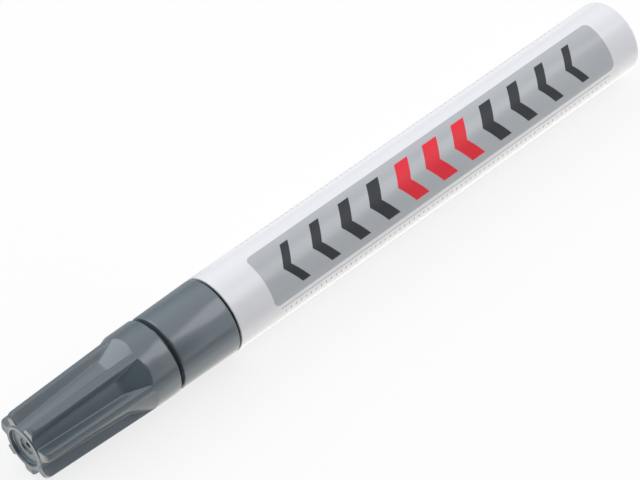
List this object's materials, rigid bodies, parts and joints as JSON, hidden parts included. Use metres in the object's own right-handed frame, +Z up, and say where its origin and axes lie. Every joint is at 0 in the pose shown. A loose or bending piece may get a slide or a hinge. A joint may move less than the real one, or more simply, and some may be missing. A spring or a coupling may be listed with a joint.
{
  "type": "marker pen",
  "caption": "Capped valve-action paint marker: white round barrel with a closed flat tail, grey collar and grey ribbed push-on cap over a spring-loaded bullet nib.",
  "frame": {"origin": "on the ground under the middle of the capped pen's length, with the pen lying on its barrel", "axes": "+X along the pen's axis toward the writing end, +Z up, +Y to the left of someone looking toward the writing end"},
  "size_m": [0.1434, 0.015, 0.015],
  "materials": {
    "white_lacquer": "satin",
    "grey_front_plastic": "satin",
    "grey_cap_plastic": "satin",
    "seal_plastic": "matte",
    "nose_plastic": "satin",
    "nib_fibre": "matte",
    "valve_plastic": "satin",
    "seat_rubber": "matte",
    "ring_rubber": "matte",
    "plunger_plastic": "satin",
    "retainer_plastic": "satin",
    "spring_steel": "satin",
    "ball_steel": "polished"
  },
  "bodies": {
    "pen_body": {"barrel": "white_lacquer", "front_section": "grey_front_plastic", "barrel_seal_ring": "ring_rubber", "nib_holder": "nose_plastic", "valve_body": "valve_plastic", "valve_seat_seal": "seat_rubber", "valve_spring": "spring_steel", "spring_retainer": "retainer_plastic"},
    "cap": {"cap_shell": "grey_cap_plastic", "cap_seal": "seal_plastic"},
    "tip": {"nib": "nib_fibre"},
    "plunger": {"valve_plunger": "plunger_plastic"},
    "ball": {"mixing_ball": "ball_steel"}
  },
  "joints": [
    {"name": "cap_pull", "type": "slide", "parent": "pen_body", "child": "cap", "axis": [1, 0, 0], "range_m": [0, 0.035]},
    {"name": "nib_press", "type": "slide", "parent": "pen_body", "child": "tip", "axis": [-1, 0, 0], "range_m": [0, 0.0015], "stiffness_N_per_m": 600, "deforming": ["valve_spring"]},
    {"name": "valve_lift", "type": "slide", "parent": "pen_body", "child": "plunger", "axis": [-1, 0, 0], "range_m": [0, 0.0015]},
    {"name": "ball_roll", "type": "slide", "parent": "pen_body", "child": "ball", "axis": [1, 0, 0], "range_m": [-0.0268, 0.06]}
  ],
  "couplings": [
    {"joint": "valve_lift", "follows": "nib_press", "ratio": 1}
  ]
}
